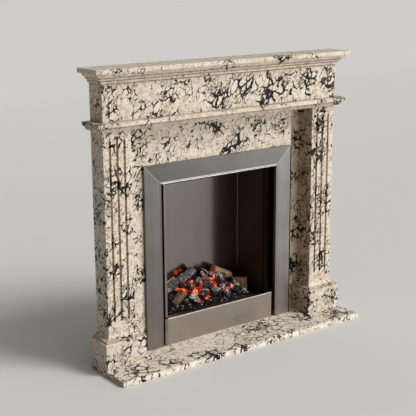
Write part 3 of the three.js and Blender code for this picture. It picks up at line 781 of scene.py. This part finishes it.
# %% Ember bed
HOT_SPOTS = np.array([
    (-93, 122, 218), (-102, 126, 208), (-85, 109, 200), (-32, 146, 221), (-71, 112, 230), (-37, 104, 221),
    (-19, 98, 231), (-16, 107, 240), (-47, 93, 181), (-43, 104, 192), (-22, 61, 196), (40, 91, 221),
    (80, 126, 228), (75, 135, 215), (48, 136, 249), (21, 127, 243), (34, 128, 250), (66, 49, 181),
    (92, 71, 183), (-49, 70, 150), (2, 69, 158), (144, 76, 191), (159, 63, 181),
    (79, 108, 196), (34, 57, 189), (-115, 140, 203), (78, 147, 246), (-55, 159, 250), (56, 118, 214),
    (0, 142, 224), (134, 104, 192),
], float)
COALS = np.array([
    (-80, 70, 28), (-12, 77, 27), (53, 73, 30), (116, 66, 23), (172, 77, 25), (219, 68, 15), (-65, 112, 24),
    (-18, 119, 26), (23, 106, 27), (33, 145, 25), (108, 112, 34), (106, 84, 21), (200, 122, 22), (186, 106, 19),
    (62, 176, 23), (100, 172, 20), (88, 145, 22), (-172, 118, 18), (-96, 142, 22), (-40, 172, 25),
    (150, 150, 24), (-118, 68, 17), (147, 88, 19),
], float)
TRAY = 128.0
HEAP_MIDDLE, HEAP_HALF = 15.0, 258.0
HEAP_FRONT, HEAP_RUN = 48.0, 124.0
HEAP_FOOT, HEAP_RISE, HEAP_ARCH = 4.3, 95.0, 2.4
BED_LEFT, BED_RIGHT, BED_FRONT, BED_BACK = -242.7, 272.7, 48.2, 201.5
BED_COLUMNS, BED_ROWS = 172, 52
SEAT = 1.02
HEART_PLACE, HEART_REACH, HEART_HEAT = (5.0, 122.0), (88.0, 36.0), 0.44


def ember_height(x, y):
    """Height of the heap: its foot, plus its rise times one minus a power of the share from its middle, times
    the sine of a quarter turn from its front to its ridge."""
    share = np.minimum(1.0, np.abs(x - HEAP_MIDDLE) / HEAP_HALF)
    climb = np.clip((y - HEAP_FRONT) / HEAP_RUN, 0.0, 1.0)
    return TRAY + HEAP_FOOT + HEAP_RISE * (1.0 - share ** HEAP_ARCH) * np.sin(climb * np.pi / 2)


def heat_at(points, reach):
    """How hot the heap is at each point: a bell over the distance to each hot spot, added up to one at most,
    and nowhere less than a broad low bell over the middle of the heap."""
    away = np.linalg.norm(points[:, None] - HOT_SPOTS, axis=-1)
    broad = np.linalg.norm((points[:, :2] - HEART_PLACE) / HEART_REACH, axis=-1)
    spots = np.clip(np.exp(-0.5 * (away / reach) ** 2).sum(-1), 0.0, 1.0)
    return np.maximum(spots, HEART_HEAT * np.exp(-0.5 * broad ** 2))


COAL_PLACES = np.column_stack([COALS[:, :2], ember_height(COALS[:, 0], COALS[:, 1]) + 0.5 * COALS[:, 2]])

glow_paint, tree = blank_material("glowing clinker")
# Fine black clinker: red where it is warm, orange to yellow where it is hottest.
place = add(tree, "ShaderNodeTexCoord").outputs["Object"]
heat = carried(tree, "warmth")
grit = noise(tree, place, 0.012, 4.0)
patch = ranged(tree, grit, 0.36, 0.62, 0.25, 1.15)
warm = reckon(tree, "MULTIPLY", heat, patch)
flame = ramp(
    tree, warm, (0.18, "#000000"), (0.34, "#6a1405"), (0.55, "#d83a0a"), (0.78, "#ff6a14"), (1.0, "#ffb347"),
)
ash_tone = blend(tree, patch, linear("#080706"), linear("#1a1716"))
surface(tree, {
    "Base Color": ash_tone, "Roughness": 0.95, "Specular IOR Level": 0.1,
    "Emission Color": flame, "Emission Strength": 1.6,
})

across = np.linspace(BED_LEFT, BED_RIGHT, BED_COLUMNS)
deep = np.linspace(BED_FRONT, BED_BACK, BED_ROWS)
x, y = np.meshgrid(across, deep)
flat = np.stack([x, y, 0 * x], -1)
top = ember_height(x, y) + 2.6 * rough(flat, 9.0, 1) + 1.4 * rough(flat, 4.0, 2)
gone = np.hypot(x[..., None] - COALS[:, 0], y[..., None] - COALS[:, 1]) / (COALS[:, 2] * SEAT)
under = COAL_PLACES[:, 2] - COALS[:, 2] * SEAT * np.sqrt(np.clip(1.0 - gone ** 2, 0.0, 1.0))
top = np.minimum(top, np.where(gone < 1.0, under, 1e9).min(-1))
top = np.maximum(top, TRAY + 1.2)
rows, columns = x.shape
inner = np.arange(rows * columns).reshape(rows, columns)
rim = np.concatenate([inner[0], inner[1:, -1], inner[-1, -2::-1], inner[-2:0:-1, 0]])
foot = rows * columns + np.arange(len(rim))
points = np.vstack([np.stack([x, y, top], -1).reshape(-1, 3), np.zeros((len(rim), 3))])
points[foot] = points[rim]
points[foot, 2] = TRAY + 0.3
onward = np.roll(np.arange(len(rim)), -1)
faces = grid_quads(rows, columns).tolist()
faces += np.stack([rim, foot, foot[onward], rim[onward]], -1).tolist()
faces.append(foot[::-1].tolist())
bed_heat = heat_at(points, 10.0)
put("ember_clinker", points, faces, glow_paint, "embers", ["ember_bed"], smooth_deg=180.0, warmth=bed_heat)
print("ember bed", len(faces), "faces")

# %% [markdown]
# ## Coals
# Each coal is a broken lump: rounded, with a few flat breaks, pitted, black below and grey with ash on top.
# A ball pushed about by noise looks like a potato, so the reach of every ray from the middle is cut short by
# planes: some at random for the breaks, and one toward each neighbour, so that lumps touch and never mix.

# %% Coals
LOG_LINES = {
    "log_charred": ((-235, 158, 171), (-5, 165, 267), 21),
    "log_behind": ((-238, 192, 184), (-100, 192, 240), 8),
    "log_front": ((-168, 98, 150), (-112, 97, 200), 20),
    "log_top": ((106, 163, 252), (207, 167, 199), 22),
}

coal_paint, tree = blank_material("ceramic coal with ash")
# Cast ceramic, painted black and dusted with pale ash: matt, pitted, and red where it lies on the embers.
place = add(tree, "ShaderNodeTexCoord").outputs["Object"]
ash = carried(tree, "ash")
heat = carried(tree, "warmth")
dust = reckon(tree, "ADD", noise(tree, place, 0.011, 6.0, 0.7), ash)
dust = ranged(tree, dust, 0.60, 1.05, 0.0, 1.0)
crazing = edge_distance(tree, place, 0.008)
crazing = ranged(tree, crazing, 0.02, 0.20, 0.25, 1.0)
dust = reckon(tree, "MULTIPLY", dust, crazing)
tone = ramp(tree, dust, (0.0, "#0c0b0b"), (0.38, "#1e1c1c"), (0.64, "#6e6d6c"), (1.0, "#d0d0ce"))
pits = noise(tree, place, 0.005, 5.0)
bump = add(tree, "ShaderNodeBump", {"Height": pits, "Strength": 0.8, "Distance": 0.002})
cracks = ranged(tree, pits, 0.40, 0.60, 0.3, 1.25)
warm = reckon(tree, "MULTIPLY", heat, cracks)
flame = ramp(
    tree, warm, (0.12, "#000000"), (0.30, "#5a1004"), (0.50, "#d0320a"), (0.72, "#ff5a12"), (1.0, "#ff9a34"),
)
surface(tree, {
    "Base Color": tone, "Roughness": 0.88, "Normal": bump.outputs["Normal"],
    "Emission Color": flame, "Emission Strength": 1.1,
})

COAL_ROWS, COAL_COLUMNS, BREAKS = 26, 40, 13
rays = ball(COAL_ROWS, COAL_COLUMNS)
coal_faces = capped(COAL_ROWS, COAL_COLUMNS)


def cut_short(reach, toward, distance):
    """The reach of each ray, stopped at the plane that lies at the distance along the direction toward."""
    along = rays @ toward
    return np.where(along > 0.05, np.minimum(reach, distance / np.maximum(along, 0.05)), reach)


def coal(number):
    """A ball whose reach varies by three sine waves, stops at seeded break planes, is roughened by two noise
    fields, and then stops at planes toward neighbours and logs."""
    middle, radius = COAL_PLACES[number], COALS[number, 2]
    shift = (COALS[number, 0] + COALS[number, 1]) / radius
    x, y, z = rays.T
    wave = np.sin(4 * x + shift) + np.sin(5 * y - 2 * shift) + np.sin(4 * z + 3 * shift)
    reach = radius * (1.06 + 0.1 * wave)
    chance = np.random.default_rng(900 + number)
    break_ash = np.zeros(len(rays))
    for _ in range(BREAKS):
        toward = chance.normal(size=3)
        broken = cut_short(reach, toward / np.linalg.norm(toward), radius * chance.uniform(0.60, 0.95))
        break_ash = np.where(broken < reach, chance.uniform(-0.26, 0.26), break_ash)
        reach = broken
    coarse, fine = rough(rays * radius, 7.0, number), rough(rays * radius, 3.2, number + 50)
    reach = reach * (1.0 + 0.04 * coarse + 0.03 * fine)
    for other in range(len(COALS)):
        toward = COAL_PLACES[other] - middle
        apart = np.linalg.norm(toward)
        if 0.0 < apart < 1.4 * (radius + COALS[other, 2]):
            share = (apart ** 2 + radius ** 2 - COALS[other, 2] ** 2) / (2 * apart)
            reach = cut_short(reach, toward / apart, share - 0.15)
    for start, end, thick in LOG_LINES.values():
        start, end = np.array(start, float), np.array(end, float)
        axis = end - start
        nearest = start + np.clip((middle - start) @ axis / (axis @ axis), 0.0, 1.0) * axis
        toward = nearest - middle
        apart = np.linalg.norm(toward)
        if apart < radius + thick + 6.0:
            reach = cut_short(reach, toward / apart, max(apart - 1.06 * thick, 0.35 * radius))
    points = middle + rays * reach[:, None] * 0.985
    points[:, 2] = np.maximum(points[:, 2], TRAY + 0.4)
    ash_level = 0.22 + break_ash + 0.24 * z + 0.08 * chance.uniform(-1, 1) + 0.22 * rough(points, 12.0, 7)
    ash_level += 0.10 * np.clip((100.0 - middle[1]) / 40.0, -0.4, 1.0)
    apart = np.linalg.norm(points[:, None] - COAL_PLACES, axis=-1) - COALS[:, 2]
    apart[:, number] = points[:, 2] - ember_height(points[:, 0], points[:, 1])
    close = np.clip(1.0 - apart.min(-1) / 9.0, 0.0, 1.0)
    heat = 1.35 * close ** 1.2 * heat_at(points, 11.0)
    put(f"coal_lump_{number + 1:02d}", points, coal_faces, coal_paint, "coal", [f"coal_{number + 1:02d}"], 26.0,
        ash=ash_level, warmth=heat)


for number in range(len(COALS)):
    coal(number)
print(len(COALS), "coals of", len(coal_faces), "faces")

# %% [markdown]
# Broken crumbs lie in front of the heap, on the tray and on the foot of the embers. A hundred full coals
# would be wasteful, so a crumb is a ball of a few faces, stretched and dented by its own seeded numbers, and
# all of them share one mesh.

# %% Crumbs
CRUMB_SPOTS = np.array([
    (-219, 57), (-190, 62), (-167, 67), (-140, 60), (-111, 58), (-92, 45), (-47, 51), (-20, 46), (16, 65),
    (26, 48), (46, 58), (80, 46), (106, 57), (130, 60), (145, 54), (161, 42), (190, 50), (205, 66), (228, 60),
    (-62, 44),
], float)
CRUMBS_PER_SPOT = 5
chance = np.random.default_rng(41)
crumb_rows, crumb_columns = 3, 6
seed_ball = ball(crumb_rows, crumb_columns)
count = len(CRUMB_SPOTS) * CRUMBS_PER_SPOT
spots = np.repeat(CRUMB_SPOTS, CRUMBS_PER_SPOT, axis=0) + chance.normal(size=(count, 2)) * (9.0, 5.0)
spots[:, 1] = np.clip(spots[:, 1], -18.0, 80.0)
sizes = chance.uniform(1.8, 5.2, count)
ground = np.where(spots[:, 1] > BED_FRONT, ember_height(spots[:, 0], spots[:, 1]), TRAY + 0.3)
stretch = chance.uniform(0.6, 1.3, (count, 1, 3))
stretch = stretch * (1.0 + 0.25 * chance.uniform(-1, 1, (count, len(seed_ball), 1)))
crumbs = seed_ball * stretch * sizes[:, None, None]
crumbs = crumbs + np.column_stack([spots, ground + 0.45 * sizes])[:, None]
crumbs[..., 2] = np.maximum(crumbs[..., 2], TRAY + 0.2)
one = capped(crumb_rows, crumb_columns)
firsts = range(0, count * len(seed_ball), len(seed_ball))
faces = [[first + corner for corner in face] for first in firsts for face in one]
pale = np.repeat(chance.uniform(0.20, 0.75, count), len(seed_ball))
put("ash_crumbs", crumbs, faces, coal_paint, "coal", smooth_deg=20.0, ash=pale, warmth=0 * pale)
print(count, "crumbs of", len(one), "faces")

# %% [markdown]
# ## Logs
# Four round logs and a sawn block lie among the coals. A log is a ring carried along its axis: the ring's
# radius is drawn in along furrows of bark, and the ends are flat cuts. Each point also carries its place
# across and along the log, so the grain follows the log however it lies.

# %% Logs
def timber(name, low, high, cut_tone, crack_mm, crack_depth, ash_code=None):
    """Wood whose grain runs along the log: long fibres shift the tone between low and high, cracks part it, and
    the cut ends show rings in their own tone. Where the log smoulders, it glows."""
    material, tree = blank_material(name)
    grain = add(tree, "ShaderNodeAttribute", attribute_name="grain").outputs["Vector"]
    cut = carried(tree, "cut")
    fibre = add(tree, "ShaderNodeMapping", {"Vector": grain, "Scale": (330.0, 330.0, 22.0)})
    fibre = noise(tree, fibre.outputs[0], 1.0, 5.0)
    fibre = ranged(tree, fibre, 0.34, 0.66, 0.0, 1.0)
    skin = blend(tree, fibre, linear(low), linear(high))
    cells = add(tree, "ShaderNodeMapping", {"Vector": grain, "Scale": (1.0, 1.0, 0.62)})
    cells = edge_distance(tree, cells.outputs[0], crack_mm * MM)
    gap = ranged(tree, cells, 0.02, 0.14, crack_depth, 0.0)
    if ash_code:
        dusty = noise(tree, grain, 0.014, 5.0)
        dusty = ranged(tree, dusty, 0.44, 0.66, 0.0, 0.9)
        skin = blend(tree, dusty, skin, linear(ash_code))
    skin = blend(tree, gap, skin, linear("#0e0c0b"))
    parts = add(tree, "ShaderNodeSeparateXYZ", {"Vector": grain})
    flat = add(tree, "ShaderNodeCombineXYZ", {"X": parts.outputs["X"], "Y": parts.outputs["Y"]}).outputs[0]
    rings = add(
        tree, "ShaderNodeTexWave", {"Vector": flat, "Scale": 38.0, "Distortion": 3.0, "Detail": 2.0},
        wave_type="RINGS", rings_direction="Z",
    ).outputs["Fac"]
    dim, pale = (tuple(c * k for c in linear(cut_tone)[:3]) + (1.0,) for k in (0.6, 1.1))
    end = blend(tree, rings, dim, pale)
    colour = blend(tree, cut, skin, end)
    bump = add(tree, "ShaderNodeBump", {"Height": gap, "Strength": 0.7, "Distance": 0.0015}, invert=True)
    warm = carried(tree, "warmth")
    flame = blend(tree, warm, linear("#000000"), linear("#ff5a1a"))
    surface(tree, {
        "Base Color": colour, "Roughness": 0.85, "Normal": bump.outputs["Normal"],
        "Emission Color": flame, "Emission Strength": 2.2,
    })
    return material


# The charred log smoulders at its back, where only the polished firebox back shows it.
SMOULDER = np.array([(-66.0, 184.0, 254.0), (-40.0, 184.0, 258.0)])
SMOULDER_REACH = (7.0, 4.0)
LOG_RINGS, LOG_SIDES = 46, 56


def log(name, node, material, slot, seed, furrow):
    """Rings along the axis: radius times one plus two small waves, less the furrow depth times the roughness of
    a field stretched along the log. The last ring at each end is drawn in and closed by its middle point."""
    start, end, radius = (np.array(v, float) for v in LOG_LINES[node])
    axis = end - start
    length = np.linalg.norm(axis)
    axis = axis / length
    side = np.cross(axis, (0.0, 0.0, 1.0))
    side = side / np.linalg.norm(side)
    up = np.cross(axis, side)
    body = np.linspace(1.6, length - 1.6, LOG_RINGS)
    along = np.concatenate([[0.0, 0.0, 0.5], body, [length - 0.5, length, length]])
    drawn = np.concatenate([[0.5, 0.95, 0.985], np.ones(LOG_RINGS), [0.985, 0.95, 0.5]])
    cut = np.concatenate([[1.0, 1.0], np.zeros(LOG_RINGS + 2), [1.0, 1.0]])
    turn = np.linspace(0.0, 2 * np.pi, LOG_SIDES, endpoint=False)
    s, t = np.meshgrid(along, turn, indexing="ij")
    local = np.stack([radius * np.cos(t), radius * np.sin(t), s * 0.22], -1)
    wide = radius * (1.0 + 0.05 * (np.sin(3 * t + radius) + np.sin((s - length / 2) / radius)))
    wide = wide - furrow * np.abs(rough(local, 5.5, seed)) - 0.4 * furrow * rough(local, 2.6, seed + 3)
    wide = wide * drawn[:, None]
    points = start + s[..., None] * axis
    points = points + (wide * np.cos(t))[..., None] * side + (wide * np.sin(t))[..., None] * up
    points = np.vstack([points.reshape(-1, 3), start, end])
    grain = np.stack([wide * np.cos(t), wide * np.sin(t), s], -1).reshape(-1, 3)
    grain = np.vstack([grain, [[0, 0, 0], [0, 0, length]]]) * MM
    marks = np.concatenate([np.repeat(cut, len(turn)), [1.0, 1.0]])
    away = np.linalg.norm(points[:, None] - SMOULDER, axis=-1)
    warm = np.exp(-0.5 * (away / SMOULDER_REACH) ** 2).max(-1)
    faces = capped(len(along), len(turn))
    put(name, points, faces, material, slot, [node], 50.0, grain=grain, cut=marks, warmth=warm)
    print(name, len(faces), "faces")


bark = timber("split softwood bark", "#40291a", "#9a7454", "#b0683c", 11.0, 0.70)
pale_bark = timber("dry pale log", "#6b4a32", "#c0946a", "#d06a34", 16.0, 0.35)
charred = timber("charred log with ash", "#1d1b1a", "#5a5856", "#8f8a84", 9.0, 0.95, "#8e9091")
log("charred_log", "log_charred", charred, "char", 11, 2.2)
log("thin_log_behind", "log_behind", pale_bark, "bark", 12, 0.8)
log("short_front_log", "log_front", bark, "bark", 13, 1.8)
log("top_log", "log_top", pale_bark, "bark", 14, 1.2)

# %% [markdown]
# The sawn block is a square offcut. Its six faces are one rounded cube: a ball's rays, with the larger of
# the three coordinates brought to one, so the corners keep a small softness and the grain stays straight.

# %% Sawn block
BLOCK_SIZE = np.array([60.0, 38.0, 66.0])
BLOCK_PLACE = np.array([240.0, 112.0, TRAY + 0.3 + BLOCK_SIZE[2] / 2])
BLOCK_TURN_DEG = -37.0
BLUNTNESS = 14
END_RIM = 1.5

blunt = np.abs(rays) ** BLUNTNESS
cube = rays / (blunt.sum(-1, keepdims=True)) ** (1 / BLUNTNESS)
local = np.clip(cube * 1.06, -1.0, 1.0) * BLOCK_SIZE / 2
local = local - np.sign(local) * 0.35 * np.abs(rough(local * (1.0, 1.0, 0.2), 3.0, 21))[:, None]
angle = math.radians(BLOCK_TURN_DEG)
spin = np.array([[math.cos(angle), -math.sin(angle), 0], [math.sin(angle), math.cos(angle), 0], [0, 0, 1]])
points = local @ spin.T + BLOCK_PLACE
on_end = (np.abs(local[:, 2]) > BLOCK_SIZE[2] / 2 - END_RIM).astype(float)
put("sawn_offcut", points, coal_faces, bark, "bark", ["log_sawn_block"], 40.0, grain=local * MM, cut=on_end)
print("sawn block", len(coal_faces), "faces")
